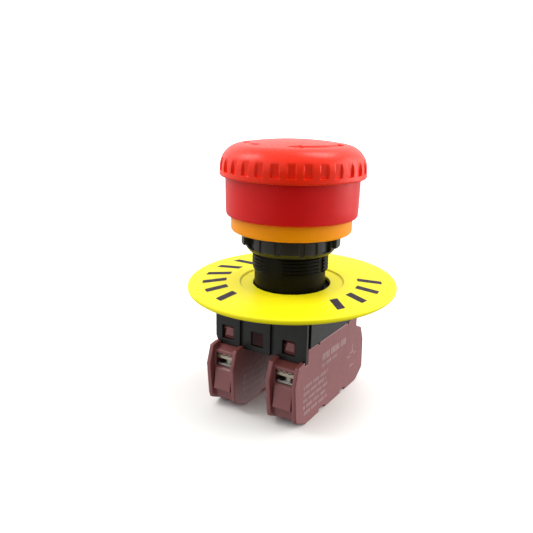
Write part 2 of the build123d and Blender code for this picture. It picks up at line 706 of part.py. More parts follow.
for block_side, block_centre, block_window in (
    ("left_block", BLOCK_X["left"], FINGER_X[0]),
    ("right_block", BLOCK_X["right"], FINGER_X[2]),
):
    make_housing(f"{block_side}_housing", block_centre, block_window)
    make_cover(f"{block_side}_cover", block_centre)
    make_contacts(block_side, block_centre)
    for terminal_end in CHAMBERS:
        make_terminal(block_side, block_centre, terminal_end)
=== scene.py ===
"""Emergency stop button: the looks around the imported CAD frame.

Outlines are in millimetres in the row's frame, with +Z up the neck's axis, and mesh_piece()
turns them into metres.
"""

import json
import math

import bmesh
import bpy
from mathutils import Matrix, Vector


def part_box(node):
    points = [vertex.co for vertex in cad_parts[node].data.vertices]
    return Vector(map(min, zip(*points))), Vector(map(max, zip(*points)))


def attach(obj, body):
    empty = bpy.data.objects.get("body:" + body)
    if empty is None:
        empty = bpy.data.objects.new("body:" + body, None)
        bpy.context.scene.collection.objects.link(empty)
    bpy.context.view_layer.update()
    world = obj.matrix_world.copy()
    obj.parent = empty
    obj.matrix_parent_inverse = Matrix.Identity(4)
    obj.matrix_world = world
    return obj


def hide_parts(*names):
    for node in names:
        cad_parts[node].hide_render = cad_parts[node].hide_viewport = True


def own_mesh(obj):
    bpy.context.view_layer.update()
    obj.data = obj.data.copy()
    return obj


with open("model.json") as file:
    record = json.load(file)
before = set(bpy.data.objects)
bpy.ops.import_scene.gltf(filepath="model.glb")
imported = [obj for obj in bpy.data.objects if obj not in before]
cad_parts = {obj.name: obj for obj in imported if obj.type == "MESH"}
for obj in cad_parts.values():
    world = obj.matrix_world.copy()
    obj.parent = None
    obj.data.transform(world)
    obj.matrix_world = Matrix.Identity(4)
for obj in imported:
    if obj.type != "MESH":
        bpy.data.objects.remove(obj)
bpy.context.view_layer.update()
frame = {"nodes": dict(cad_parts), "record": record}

MM = 0.001
BEHAVIOUR = frame["record"]["behaviour"]
BODY_OF = {node: body for body, nodes in BEHAVIOUR["bodies"].items() for node in nodes}
SLOT_OF = {part["node"]: part["material_slot"] for part in frame["record"]["subparts"]}


# ---- mesh tools ---------------------------------------------------------------------------------
WELD = 1e-7
BEVEL_ANGLE = 30      # degrees from which an edge is rounded
FLAT_ANGLE = 0.5      # degrees up to which neighbouring faces are joined


def box_mm(node):
    """Lowest and highest corner of a CAD node, in millimetres."""
    low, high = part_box(node)
    return low / MM, high / MM


def polar(radius, angle):
    """Point at a radius and a direction in degrees from +X."""
    return radius * math.cos(math.radians(angle)), radius * math.sin(math.radians(angle))


def smoothstep(low, high, value):
    """0 below low, 1 above high and a soft ramp between them."""
    t = min(max((value - low) / (high - low), 0), 1)
    return t * t * (3 - 2 * t)


def arc(centre, radius, first, last, steps):
    """Points of an arc in an outline's (radius, height) plane, with angles in degrees."""
    for step in range(steps + 1):
        x, y = polar(radius, first + (last - first) * step / steps)
        yield centre[0] + x, centre[1] + y


def rounded(outline, steps=4):
    """Closed outline of (x, y, radius) corners, each rounded to its radius."""
    points = []
    for index, (x, y, radius) in enumerate(outline):
        corner = Vector((x, y))
        if not radius:
            points.append((x, y))
            continue
        before = (Vector(outline[index - 1][:2]) - corner).normalized()
        after = (Vector(outline[(index + 1) % len(outline)][:2]) - corner).normalized()
        half = before.angle(after) / 2
        centre = corner + (before + after).normalized() * radius / math.sin(half)
        reach = radius / math.tan(half)
        first, last = corner + before * reach - centre, corner + after * reach - centre
        for step in range(steps + 1):
            points.append(tuple(centre + first.slerp(last, step / steps) * radius))
    return points


def mesh_piece(name, points, faces, sharp=35):
    """New object from points in millimetres, smooth up to the sharp angle."""
    mesh = bpy.data.meshes.new(name)
    mesh.from_pydata([Vector(point) * MM for point in points], [], faces)
    obj = bpy.data.objects.new(name, mesh)
    bpy.context.scene.collection.objects.link(obj)
    tidy_mesh(obj, sharp)
    return obj


def tidy_mesh(obj, sharp):
    """Welds doubles, turns the normals outwards and smooths what is less than the sharp angle."""
    shape = bmesh.new()
    shape.from_mesh(obj.data)
    bmesh.ops.remove_doubles(shape, verts=shape.verts, dist=WELD)
    bmesh.ops.recalc_face_normals(shape, faces=shape.faces)
    shape.to_mesh(obj.data)
    shape.free()
    obj.data.shade_smooth()
    obj.data.set_sharp_from_angle(angle=math.radians(sharp))


def lathe(name, outline, columns=192, start=0, shape=None, sharp=35):
    """Turns a closed (radius, height) outline about the neck's axis; shape(angle, r, z) may bend it."""
    points, faces = [], []
    rows = len(outline)
    for column in range(columns):
        angle = start + column * 360 / columns
        for r, z in outline:
            if shape:
                r, z = shape(angle, r, z)
            points.append((*polar(r, angle), z))
    for column in range(columns):
        here, there = column * rows, (column + 1) % columns * rows
        for row in range(rows):
            after = (row + 1) % rows
            faces.append((here + row, there + row, there + after, here + after))
    return mesh_piece(name, points, faces, sharp)


def cuboids(name, spans):
    """Boxes as one mesh, each from its (x, y, z) pairs."""
    points, faces = [], []
    for xs, ys, zs in spans:
        first = len(points)
        points += [(x, y, z) for x in xs for y in ys for z in zs]
        sides = ((0, 1, 3, 2), (4, 6, 7, 5), (0, 4, 5, 1), (2, 3, 7, 6), (0, 2, 6, 4), (1, 5, 7, 3))
        faces += [tuple(first + corner for corner in side) for side in sides]
    return mesh_piece(name, points, faces)


def apply_modifiers(obj):
    """Replaces an object's mesh by the result of its modifiers."""
    graph = bpy.context.evaluated_depsgraph_get()
    mesh = bpy.data.meshes.new_from_object(obj.evaluated_get(graph))
    obj.modifiers.clear()
    obj.data = mesh


def cut(obj, cutter, sharp):
    """Subtracts a closed cutter from an object and deletes the cutter."""
    modifier = obj.modifiers.new("cut", "BOOLEAN")
    modifier.operation = "DIFFERENCE"
    modifier.solver = "EXACT"
    modifier.object = cutter
    apply_modifiers(obj)
    tidy_mesh(obj, sharp)
    bpy.data.objects.remove(cutter)


def bevelled(obj, width, segments):
    """Rounds an object's edges by a width in millimetres and keeps the shading of its flat faces."""
    modifier = obj.modifiers.new("bevel", "BEVEL")
    modifier.width = width * MM
    modifier.segments = segments
    modifier.limit_method = "ANGLE"
    modifier.angle_limit = math.radians(BEVEL_ANGLE)
    modifier.use_clamp_overlap = False
    modifier.miter_outer = "MITER_ARC"
    shading = obj.modifiers.new("shading", "WEIGHTED_NORMAL")
    shading.keep_sharp = True
    apply_modifiers(obj)
    return obj


def softened(node, width, segments=2):
    """Copy of a CAD node with slightly rounded edges, as a moulding has."""
    shape = bmesh.new()
    shape.from_mesh(frame["nodes"][node].data)
    bmesh.ops.remove_doubles(shape, verts=shape.verts, dist=WELD)
    flat = math.radians(FLAT_ANGLE)
    bmesh.ops.dissolve_limit(shape, angle_limit=flat, verts=shape.verts, edges=shape.edges)
    # faces with holes are cut up while they are still flat, so that the bevel can't fold them
    bmesh.ops.triangulate(shape, faces=[face for face in shape.faces if len(face.verts) > 4])
    mesh = bpy.data.meshes.new(node + "_soft")
    shape.to_mesh(mesh)
    shape.free()
    mesh.shade_smooth()
    obj = bpy.data.objects.new(node + "_soft", mesh)
    bpy.context.scene.collection.objects.link(obj)
    return bevelled(obj, width, segments)


# ---- materials ----------------------------------------------------------------------------------
NOISE_RANGE = (0.3, 0.7)      # the middle range of a noise's factor
SCRATCHES = (0.25, 6.0, 6.0)
SCRATCH_DEPTH = 0.002


def new_material(name):
    """Material with its node tree, Principled shader and texture space in millimetres."""
    material = bpy.data.materials.new(name)
    material.use_nodes = True
    tree = material.node_tree
    shader = tree.nodes["Principled BSDF"]
    space = tree.nodes.new("ShaderNodeMapping")
    space.inputs["Scale"].default_value = (1 / MM, 1 / MM, 1 / MM)
    coordinates = tree.nodes.new("ShaderNodeTexCoord")
    tree.links.new(coordinates.outputs["Object"], space.inputs["Vector"])
    return material, tree, shader, space


def noise(tree, space, scale, detail=2.0, roughness=0.5):
    """Noise texture with its scale in cells per millimetre."""
    node = tree.nodes.new("ShaderNodeTexNoise")
    node.inputs["Scale"].default_value = scale
    node.inputs["Detail"].default_value = detail
    node.inputs["Roughness"].default_value = roughness
    tree.links.new(space.outputs["Vector"], node.inputs["Vector"])
    return node


def spread(tree, source, low, high, target):
    """Maps a noise's middle range onto low to high, into a socket."""
    node = tree.nodes.new("ShaderNodeMapRange")
    node.inputs["From Min"].default_value = NOISE_RANGE[0]
    node.inputs["From Max"].default_value = NOISE_RANGE[1]
    node.inputs["To Min"].default_value = low
    node.inputs["To Max"].default_value = high
    tree.links.new(source.outputs["Fac"], node.inputs["Value"])
    tree.links.new(node.outputs["Result"], target)


def blend_colour(tree, factor, dark, light, target):
    """Blends two colours by a noise, into a socket."""
    ramp = tree.nodes.new("ShaderNodeValToRGB")
    ramp.color_ramp.elements[0].position = NOISE_RANGE[0]
    ramp.color_ramp.elements[1].position = NOISE_RANGE[1]
    ramp.color_ramp.elements[0].color = (*dark, 1)
    ramp.color_ramp.elements[1].color = (*light, 1)
    tree.links.new(factor.outputs["Fac"], ramp.inputs["Fac"])
    tree.links.new(ramp.outputs["Color"], target)


def bump(tree, height, depth, shader):
    """Bump of a depth in millimetres from a texture's factor."""
    node = tree.nodes.new("ShaderNodeBump")
    node.inputs["Strength"].default_value = 1.0
    node.inputs["Distance"].default_value = depth * MM
    tree.links.new(height.outputs["Fac"], node.inputs["Height"])
    tree.links.new(node.outputs["Normal"], shader.inputs["Normal"])


def plastic(name, colour, roughness, specular=0.5, mottle=0.06, grain=0.004, grain_scale=7.0):
    """Moulded plastic: faint cloudiness, uneven gloss and a fine moulding grain."""
    material, tree, shader, space = new_material(name)
    dark = [channel * (1 - mottle) for channel in colour]
    light = [min(channel * (1 + mottle), 1) for channel in colour]
    blend_colour(tree, noise(tree, space, 0.16, 4.0), dark, light, shader.inputs["Base Color"])
    gloss = noise(tree, space, 0.7, 3.0)
    spread(tree, gloss, roughness * 0.88, roughness * 1.14, shader.inputs["Roughness"])
    bump(tree, noise(tree, space, grain_scale, 3.0, 0.6), grain, shader)
    shader.inputs["Specular IOR Level"].default_value = specular
    return material


def metal(name, colour, roughness):
    """Punched or drawn metal with fine lines along one direction and a few dull patches."""
    material, tree, shader, space = new_material(name)
    stretched = tree.nodes.new("ShaderNodeMapping")
    stretched.inputs["Scale"].default_value = SCRATCHES
    tree.links.new(space.outputs["Vector"], stretched.inputs["Vector"])
    dark = [channel * 0.8 for channel in colour]
    blend_colour(tree, noise(tree, space, 0.9, 4.0), dark, colour, shader.inputs["Base Color"])
    gloss = noise(tree, space, 1.3, 3.0)
    spread(tree, gloss, roughness * 0.75, roughness * 1.3, shader.inputs["Roughness"])
    bump(tree, noise(tree, stretched, 1.5, 2.0), SCRATCH_DEPTH, shader)
    shader.inputs["Metallic"].default_value = 1.0
    return material


# name, colour, roughness, specular level, mottle, depth of the grain and its scale
FINISH = {
    "red_cap": plastic("red_cap_plastic", (0.95, 0.024, 0.003), 0.30, 0.26, 0.03, 0.002),
    "red_skirt": plastic("red_skirt_plastic", (0.72, 0.008, 0.008), 0.32, 0.20, 0.03, 0.002),
    "amber_plastic": plastic("amber_plastic", (1.0, 0.33, 0.001), 0.34, 0.16, 0.03, 0.002),
    "yellow_plate": plastic("yellow_sheet", (1.0, 0.88, 0.006), 0.42, 0.20, 0.02, 0.003),
    "black_plastic": plastic("black_plastic", (0.006, 0.005, 0.005), 0.36, 0.30, 0.06, 0.005, 4.0),
    "ring_black": plastic("ring_plastic", (0.020, 0.020, 0.021), 0.33, 0.35, 0.06, 0.005, 4.0),
    "neck_black": plastic("neck_plastic", (0.004, 0.0035, 0.003), 0.42, 0.10, 0.06, 0.003, 4.0),
    "grey_plastic": plastic("anthracite_plastic", (0.012,) * 3, 0.42, 0.42, 0.06, 0.008, 5.0),
    "maroon_plastic": plastic("dusky_red_plastic", (0.25, 0.070, 0.072), 0.38, 0.7, 0.06, 0.007, 5.0),
    "maroon_plunger": plastic("dark_red_plastic", (0.22, 0.030, 0.028), 0.35),
    "inner_plastic": plastic("grey_acetal", (0.06, 0.06, 0.06), 0.35),
    "black_rubber": plastic("black_rubber", (0.012, 0.012, 0.012), 0.7, 0.3, grain=0.01),
    "spring_steel": metal("spring_wire", (0.62, 0.61, 0.58), 0.28),
    "zinc_steel": metal("zinc_plated_steel", (0.58, 0.56, 0.52), 0.34),
    "brass_strip": metal("nickelled_brass", (0.60, 0.52, 0.40), 0.32),
    "silver_contact": metal("silver_alloy", (0.85, 0.84, 0.80), 0.3),
    "dark_ink": plastic("dark_ink", (0.022, 0.014, 0.030), 0.55, 0.25, 0.2, 0.002),
    "pale_ink": plastic("pale_ink", (0.44, 0.31, 0.31), 0.5, mottle=0.15, grain=0.002),
}


def dress(obj, slot, body, finish=None):
    """Gives a new piece the material of its slot, or of the finish named instead, and the body that it
    rides on.
    """
    obj.data.materials.clear()
    obj.data.materials.append(FINISH[finish or slot])
    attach(obj, body)


def stand_in(obj, node, finish=None):
    """Puts a detailed piece in the place of a CAD node."""
    dress(obj, SLOT_OF[node], BODY_OF[node], finish)
    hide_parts(node)


# ---- mushroom head ------------------------------------------------------------------------------
COLUMNS = 720
DOME_R = 91.0
DOME_EDGE = 15.0
SHOULDER_R = 6.23
RIB_PITCH = 12.0
RIB_PHASE = -85.4
RECESS_FLOOR = 19.55
RECESS_BOTTOM = 66.9
RECESS_EDGE = (2.5, 3.5)      # degrees from a recess's middle over which its side slopes
RECESS_FOOT = (RECESS_BOTTOM - 0.12, RECESS_BOTTOM + 0.05)
# heights of the wall's rows, close together where the recesses end
RECESS_ROWS = (67.6, 67.3, 67.05, 66.95, 66.89, 66.83, 66.77, 66.6, 66.2)
WALL_DRAFT = 0.035
LIP_R = 0.5
HOLLOW_FOOT = (18.9, 18.75, 0.15)      # two radii and the height between them
HOLLOW = [(18.75, 67.5), (17.2, 67.5), (17.2, 70.4), (14.0, 72.2), (0, 73.2)]
ARROW_TIPS = (-68.0, 52.0, 172.0)
ARROW_EDGE = 0.12
ARROW_LOWEST = 73.5
ARROW_R = 13.1
ARROW_BAND = (ARROW_R - 2.3, ARROW_R + 2.2)      # radii between which the dome has fine rows
ARROW_HEAD = 3.9
ARROW_TAIL = 19.0
SHAFT_HALF = 0.8
HEAD_HALF = 1.9
ARROW_DEPTH = 0.5


def arrow_depth(angle, r):
    """How deep the curved arrows are at a point of the dome, from 0 to 1."""
    deepest = 0
    for tip in ARROW_TIPS:
        along = math.radians((angle - tip) % 360) * ARROW_R
        across = abs(r - ARROW_R)
        head = min(HEAD_HALF * along / ARROW_HEAD - across, ARROW_HEAD - along)
        shaft = min(SHAFT_HALF - across, along - ARROW_HEAD / 2, ARROW_TAIL - along)
        deepest = max(deepest, smoothstep(-ARROW_EDGE, ARROW_EDGE, max(head, shaft)))
    return deepest


def cap_shape(angle, r, z):
    """Presses the finger recesses and the arrows into the turned cap."""
    off_centre = abs((angle - RIB_PHASE + RIB_PITCH / 2) % RIB_PITCH - RIB_PITCH / 2)
    open_side = 1 - smoothstep(*RECESS_EDGE, off_centre)
    depth = open_side * smoothstep(*RECESS_FOOT, z)
    if r > RECESS_FLOOR and depth > 0:
        r -= depth * (r - RECESS_FLOOR)
    elif abs(r - ARROW_R) < HEAD_HALF + 0.3 and z > ARROW_LOWEST:
        z -= ARROW_DEPTH * arrow_depth(angle, r)
    return r, z


def make_cap():
    """Red mushroom cap: flat dome, round shoulder, ribbed wall and lip, hollow underneath."""
    low, high = box_mm("button_cap")
    top, lip = high.z, low.z
    slope = math.degrees(math.asin(DOME_EDGE / DOME_R))
    dome_centre = (0, top - DOME_R)
    edge_z = dome_centre[1] + math.sqrt(DOME_R**2 - DOME_EDGE**2)
    radians = math.radians(slope)
    shoulder = (DOME_EDGE - SHOULDER_R * math.sin(radians), edge_z - SHOULDER_R * math.cos(radians))
    fine = math.degrees(math.asin(ARROW_EDGE / DOME_R))
    inner, outer = (math.degrees(math.asin(r / DOME_R)) for r in ARROW_BAND)
    outline = list(arc(dome_centre, DOME_R, 90, 90 - inner + fine, 12))
    outline += arc(dome_centre, DOME_R, 90 - inner, 90 - outer, round((outer - inner) / fine))
    outline += arc(shoulder, SHOULDER_R, 90 - slope, 0, 26)
    wall = outline[-1][0]
    outline += [(wall + WALL_DRAFT * (shoulder[1] - z), z) for z in RECESS_ROWS]
    outline += arc((high.x - LIP_R, lip + LIP_R), LIP_R, 0, -90, 5)
    outline += [(HOLLOW_FOOT[0], lip), (HOLLOW_FOOT[1], lip + HOLLOW_FOOT[2]), *HOLLOW]
    return lathe("mushroom_cap", outline, COLUMNS, RIB_PHASE, cap_shape, sharp=60)


stand_in(make_cap(), "button_cap")

SKIRT_INNER_R = 17.45
SKIRT_OUTER_R = (18.42, 18.55)      # at the foot and above its rounding
SKIRT_WALL = (2.6, 65.3)            # the drafted wall: start above the foot, and its top
WEB_HOLE_R = 1.5
WEB_LOW = (65.55, 65.6)             # underside within the hub and outside it
HUB_R = (3.65, 6.0)
HUB_LOW = 61.9


def make_skirt():
    """Dark red skirt with its closing web and the hub for the stem."""
    low, high = box_mm("button_skirt")
    outline = rounded(
        [
            (SKIRT_INNER_R, low.z, 0.2),
            (SKIRT_OUTER_R[0], low.z, 0.75),
            (SKIRT_OUTER_R[1], low.z + SKIRT_WALL[0], 1.6),
            (high.x, SKIRT_WALL[1], 0),
            (high.x, high.z, 0.2),
            (WEB_HOLE_R, high.z, 0),
            (WEB_HOLE_R, WEB_LOW[0], 0),
            (HUB_R[0], WEB_LOW[0], 0),
            (HUB_R[0], HUB_LOW, 0.2),
            (HUB_R[1], HUB_LOW, 0.2),
            (HUB_R[1], WEB_LOW[1], 0.4),
            (SKIRT_INNER_R, WEB_LOW[1], 0.5),
        ],
        steps=6,
    )
    return lathe("head_skirt", outline)


stand_in(make_skirt(), "button_skirt")


# ---- bezel, neck and locking ring ---------------------------------------------------------------
FLANGE_Z = (51.5, 53.5)
BEZEL_BORE_R = 10.92
BEZEL_RIM_R = 14.6
BEZEL_SEAT_R = 15.1
BEZEL_MOUTH = (15.6, 54.0)
BEZEL_FLOOR_LOW = 50.5


def make_bezel():
    """Amber bezel with a rounded lower edge and a soft top edge."""
    low, high = box_mm("bezel_ring")
    outline = rounded(
        [
            (BEZEL_BORE_R, BEZEL_FLOOR_LOW, 0),
            (BEZEL_RIM_R, BEZEL_FLOOR_LOW, 0),
            (BEZEL_RIM_R, low.z, 0.15),
            (high.x, low.z, 0.8),
            (high.x, high.z, 0.35),
            (BEZEL_MOUTH[0], high.z, 0.35),
            (*BEZEL_MOUTH, 0),
            (BEZEL_SEAT_R, FLANGE_Z[1], 0),
            (BEZEL_SEAT_R, FLANGE_Z[0], 0),
            (BEZEL_BORE_R, FLANGE_Z[0], 0),
        ],
        steps=6,
    )
    return lathe("amber_bezel", outline)


stand_in(make_bezel(), "bezel_ring")

THREAD_PITCH = 1.0
THREAD_DEPTH = 0.42
THREAD_Z = (39.1, 49.9)
THREAD_CREST = 10.9
THREAD_FLANK = (0.12, 0.34)      # in pitches from the middle of a crest
THREAD_START = (0.35, 0.25)      # height of the run-in and how far it drops
THREAD_ROW = 0.1
NECK_R = 10.2
BORE_R = 8.0
COLLAR = (11.5, 54.5)            # radius, and the height where the flange's slope meets it
# the bore from the collar down, with its two wider chambers
BORE = [(10.0, 52.5), (BORE_R, 52.5), (BORE_R, 51.7), (9.0, 51.7), (9.0, 50.3), (BORE_R, 50.3)]
BORE += [(BORE_R, 49.4), (9.0, 49.4), (9.0, 42.6), (BORE_R, 42.6)]
SLOT_CUT = [((-12, 12), (-3.4, 3.4), (20, 31.2))]
GUIDE_CUTS = [((7, 8.95), (-1.1, 1.1), (20, 41.05)), ((-8.95, -7), (-1.1, 1.1), (20, 41.05))]
NECK_SHARP = 50
FLAT_Y = -10.3
KEYWAY = -5.0
KEYWAY_HALF = 1.2
KEYWAY_FLOOR = 10.1


def thread_shape(angle, r, z):
    """Cuts the helical thread, the front flat and the keyway into the neck's outer wall."""
    if r < NECK_R - 0.01 or not THREAD_Z[0] <= z <= THREAD_Z[1]:
        return r, z
    phase = (z - angle / 360 * THREAD_PITCH) / THREAD_PITCH % 1
    ridge = smoothstep(*THREAD_FLANK, abs(phase - 0.5))
    fade = smoothstep(THREAD_Z[0], THREAD_Z[0] + THREAD_START[0], z)
    r = THREAD_CREST - THREAD_DEPTH * ridge * fade - THREAD_START[1] * (1 - fade)
    toward_front = math.cos(math.radians(angle + 90))
    if toward_front > 0.9:
        r = min(r, -FLAT_Y / toward_front)
    aside = r * math.sin(math.radians(angle - KEYWAY))
    if abs(aside) < KEYWAY_HALF and math.cos(math.radians(angle - KEYWAY)) > 0:
        r = min(r, KEYWAY_FLOOR)
    return r, z


def make_neck():
    """Black operator body: threaded neck, flange and collar round the plunger's bore."""
    low, high = box_mm("operator_body")
    rows = round((THREAD_Z[1] - THREAD_Z[0]) / THREAD_ROW)
    outline = [(BORE_R, low.z), (NECK_R - 0.2, low.z), (NECK_R, low.z + 0.2)]
    outline.append((NECK_R, THREAD_Z[0] - 0.02))
    outline += [(THREAD_CREST, THREAD_Z[0] + row * THREAD_ROW) for row in range(rows + 1)]
    outline += [(THREAD_CREST, FLANGE_Z[0]), (high.x, FLANGE_Z[0]), (high.x, FLANGE_Z[1])]
    outline += [COLLAR, (COLLAR[0], high.z), (BORE[0][0], high.z), *BORE]
    neck = lathe("threaded_neck", outline, 360, 0, thread_shape, NECK_SHARP)
    cut(neck, cuboids("slot_cutter", SLOT_CUT), NECK_SHARP)
    cut(neck, cuboids("guide_cutter", GUIDE_CUTS), NECK_SHARP)
    return neck


stand_in(make_neck(), "operator_body", "neck_black")
stand_in(softened("locking_ring", 0.10), "locking_ring", "ring_black")


# ---- legend plate -------------------------------------------------------------------------------
PLATE_TILT = 2.46
PLATE_CENTRE = Vector((0.45, 0.40, 35.1))
PLATE_T = 1.6
PLATE_R = 30.0
PLATE_HOLE_R = 11.15
PLATE_STEP = (15.0, 0.5)      # radius and depth of the shallow step
INK_Z = (-0.01, 0.02)
MARK_R = (18.9, 25.7)
MARK_HALF = 1.25
MARK_SLANT = 2.3
MARK_CORNER = 0.25
LEFT_MARKS = (-22, -40, -57, -74, -91.5, -109, -127, -145, -163)
RIGHT_MARKS = (62, 80.5, 99, 117.5)


def tilt_plate(obj):
    """Moves a piece made flat about the origin into the legend plate's tilted plane."""
    place = Matrix.Translation(PLATE_CENTRE * MM) @ Matrix.Rotation(math.radians(PLATE_TILT), 4, "X")
    obj.data.transform(place)
    return obj


def make_plate():
    """Yellow disc with a rounded edge and a shallow step round its hole."""
    outline = rounded(
        [
            (PLATE_HOLE_R, -PLATE_T, 0.15),
            (PLATE_R, -PLATE_T, 0.65),
            (PLATE_R, 0, 0.7),
            (PLATE_STEP[0], 0, 0.3),
            (PLATE_STEP[0] - 0.2, -PLATE_STEP[1], 0.3),
            (PLATE_HOLE_R, -PLATE_STEP[1], 0.15),
        ],
        steps=6,
    )
    return tilt_plate(lathe("yellow_plate", outline, 256))


def make_marks():
    """Slanted bars printed round the plate, in the two groups that a legend takes."""
    points, faces = [], []
    for direction in LEFT_MARKS + RIGHT_MARKS:
        slant = MARK_SLANT if direction in RIGHT_MARKS else -MARK_SLANT
        corners = [
            (MARK_R[0], slant / 2 - MARK_HALF, MARK_CORNER),
            (MARK_R[1], -slant / 2 - MARK_HALF, MARK_CORNER),
            (MARK_R[1], -slant / 2 + MARK_HALF, MARK_CORNER),
            (MARK_R[0], slant / 2 + MARK_HALF, MARK_CORNER),
        ]
        turn = Matrix.Rotation(math.radians(direction - 90), 2)
        bar = [turn @ Vector(point) for point in rounded(corners, 3)]
        first, count = len(points), len(bar)
        points += [(*point, z) for z in INK_Z for point in bar]
        faces.append(tuple(range(first, first + count))[::-1])
        faces.append(tuple(range(first + count, first + 2 * count)))
        for i in range(count):
            j = (i + 1) % count
            faces.append((first + i, first + j, first + j + count, first + i + count))
    return tilt_plate(mesh_piece("plate_marks", points, faces))


stand_in(make_plate(), "legend_plate")
dress(make_marks(), "dark_ink", "legend_plate")

# ---- adapter and contact blocks -----------------------------------------------------------------
stand_in(softened("mounting_adapter", 0.16), "mounting_adapter")

BLOCKS = ("left_block", "right_block")
for block in BLOCKS:
    stand_in(softened(f"{block}_housing", 0.18), f"{block}_housing")
    stand_in(softened(f"{block}_cover", 0.3, 3), f"{block}_cover")

# ---- print on the blocks ------------------------------------------------------------------------
PRINT_T = 0.03
# rows of plain strokes: lowest and highest y, height of the foot, stroke height, pitch and width
PRINT_ROWS = [(-6.0, 10.4, 15.6, 2.0, 0.92, 0.46), (-6.0, 4.0, 13.6, 1.0, 0.60, 0.28)]
PRINT_ROWS += [(-16.4, -2.0 - row % 2, 10.9 - 1.95 * row, 1.0, 0.60, 0.28) for row in range(5)]
SYMBOL = (10.8, 17.6, 6.5, 13.5)      # lowest and highest y, then lowest and highest z
SYMBOL_LINE = 0.28
SYMBOL_LEAD = 2.2
SYMBOL_BRIDGE = (1.9, 0.9)            # inset of its ends and height above the leads
SYMBOL_BASE = 2.0                     # inset of the bottom line's ends


def print_strokes():
    """Spans of y and z of the strokes on a cover's +X face, with gaps as between words."""
    for row, (first, last, foot, height, pitch, width) in enumerate(PRINT_ROWS):
        for index in range(int((last - first) / pitch)):
            if (index + 2 * row) % 7 == 5:
                continue
            y = first + index * pitch
            yield (y, y + width), (foot, foot + height)


def symbol_lines():
    """Spans of y and z of a plain contact symbol: two terminals joined by a bridge."""
    y_low, y_high, z_low, z_high = SYMBOL
    line = SYMBOL_LINE
    inset, lift = SYMBOL_BRIDGE
    y_middle, z_middle = (y_low + y_high) / 2, (z_low + z_high) / 2
    yield (y_low, y_low + SYMBOL_LEAD), (z_middle, z_middle + line)
    yield (y_high - SYMBOL_LEAD, y_high), (z_middle, z_middle + line)
    yield (y_low + inset, y_high - inset), (z_middle + lift, z_middle + lift + line)
    yield (y_middle, y_middle + line), (z_middle + lift, z_high)
    yield (y_low + SYMBOL_BASE, y_high - SYMBOL_BASE), (z_low, z_low + line)


for block in BLOCKS:
    face_x = box_mm(f"{block}_cover")[1].x
    face = (face_x - 0.01, face_x + PRINT_T)
    spans = [(face, ys, zs) for ys, zs in [*print_strokes(), *symbol_lines()]]
    dress(cuboids(f"{block}_print", spans), "pale_ink", BODY_OF[f"{block}_cover"])

# ---- wire grips in the terminal openings --------------------------------------------------------
GRIP_WAVES = 3
GRIP_STEPS = 36
GRIP_DEPTH = 1.1
GRIP_T = 0.22
GRIP_HALF = 2.5
GRIP_SINK = 0.05
CLAMP_GRIP = 0.38
STRIP_GRIP = 0.6


def wavy_grip(name, node, end, low_z, high_z):
    """Corrugated lip at a terminal's wire opening, between two heights."""
    low, high = box_mm(node)
    middle = (low.x + high.x) / 2
    edge = low.y if end == "front" else high.y
    inside = edge + GRIP_DEPTH if end == "front" else edge - GRIP_DEPTH
    swing = (high_z - low_z - GRIP_T) / 2
    points = []
    for step in range(GRIP_STEPS + 1):
        share = step / GRIP_STEPS
        x = middle - GRIP_HALF + 2 * GRIP_HALF * share
        z = (low_z + high_z) / 2 + swing * math.sin(2 * math.pi * GRIP_WAVES * share)
        points += [(x, y, z + side * GRIP_T / 2) for y in (edge, inside) for side in (-1, 1)]
    faces = [(0, 1, 3, 2), tuple(4 * GRIP_STEPS + corner for corner in (0, 2, 3, 1))]
    for step in range(GRIP_STEPS):
        here, there = 4 * step, 4 * step + 4
        for a, b in ((0, 1), (1, 3), (3, 2), (2, 0)):
            faces.append((here + a, there + a, there + b, here + b))
    return mesh_piece(name, points, faces, 50)


for block in BLOCKS:
    for end in ("front", "rear"):
        clamp, strip = f"{block}_clamp_{end}", f"{block}_terminal_{end}"
        clamp_top, strip_top = box_mm(clamp)[1].z, box_mm(strip)[1].z
        lower_span = (clamp_top - GRIP_SINK, clamp_top + CLAMP_GRIP)
        upper_span = (strip_top - GRIP_SINK, strip_top + STRIP_GRIP)
        lower = wavy_grip(f"{clamp}_grip", clamp, end, *lower_span)
        upper = wavy_grip(f"{strip}_grip", strip, end, *upper_span)
        dress(lower, SLOT_OF[clamp], BODY_OF[clamp])
        dress(upper, SLOT_OF[strip], BODY_OF[strip])


def shorten(node):
    """Gives a spring its own copy of its mesh."""
    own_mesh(frame["nodes"][node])


shorten("return_spring")
for block in BLOCKS:
    shorten(f"{block}_return_spring")

# ---- every other CAD node keeps its shape -------------------------------------------------------
for node, obj in frame["nodes"].items():
    obj.data.materials.clear()
    obj.data.materials.append(FINISH[SLOT_OF[node]])


# ---- floor, light and camera --------------------------------------------------------------------
CAMERA_AT = Vector((83.88, -148.27, 87.26)) * MM
CAMERA_FORWARD = Vector((-0.50658, 0.81780, -0.27309))
CAMERA_ROLL = 1.17
CAMERA_LENS = 41.47
AIM = Vector((0, 0, 45)) * MM
FLOOR_REACH = 6.0
FLOOR_GLOW = (0.08, 0.7)      # distances in metres over which the floor starts to glow
FLOOR_STRENGTH = 0.8
SIDE_GLOW = 0.95
SKY_RANGE = (-0.15, 0.85)
SKY_STRENGTH = (0.10, 1.1)
SENSOR = 36.0
CLIP = (0.005, 20.0)
CAMERA_SIDE = Vector((0.8704, 0.4924, 0))
CAMERA_NEAR = Vector((0.4924, -0.8704, 0))
SKY_AIM = Vector((0, 0, 0.9)) - CAMERA_NEAR * 0.5


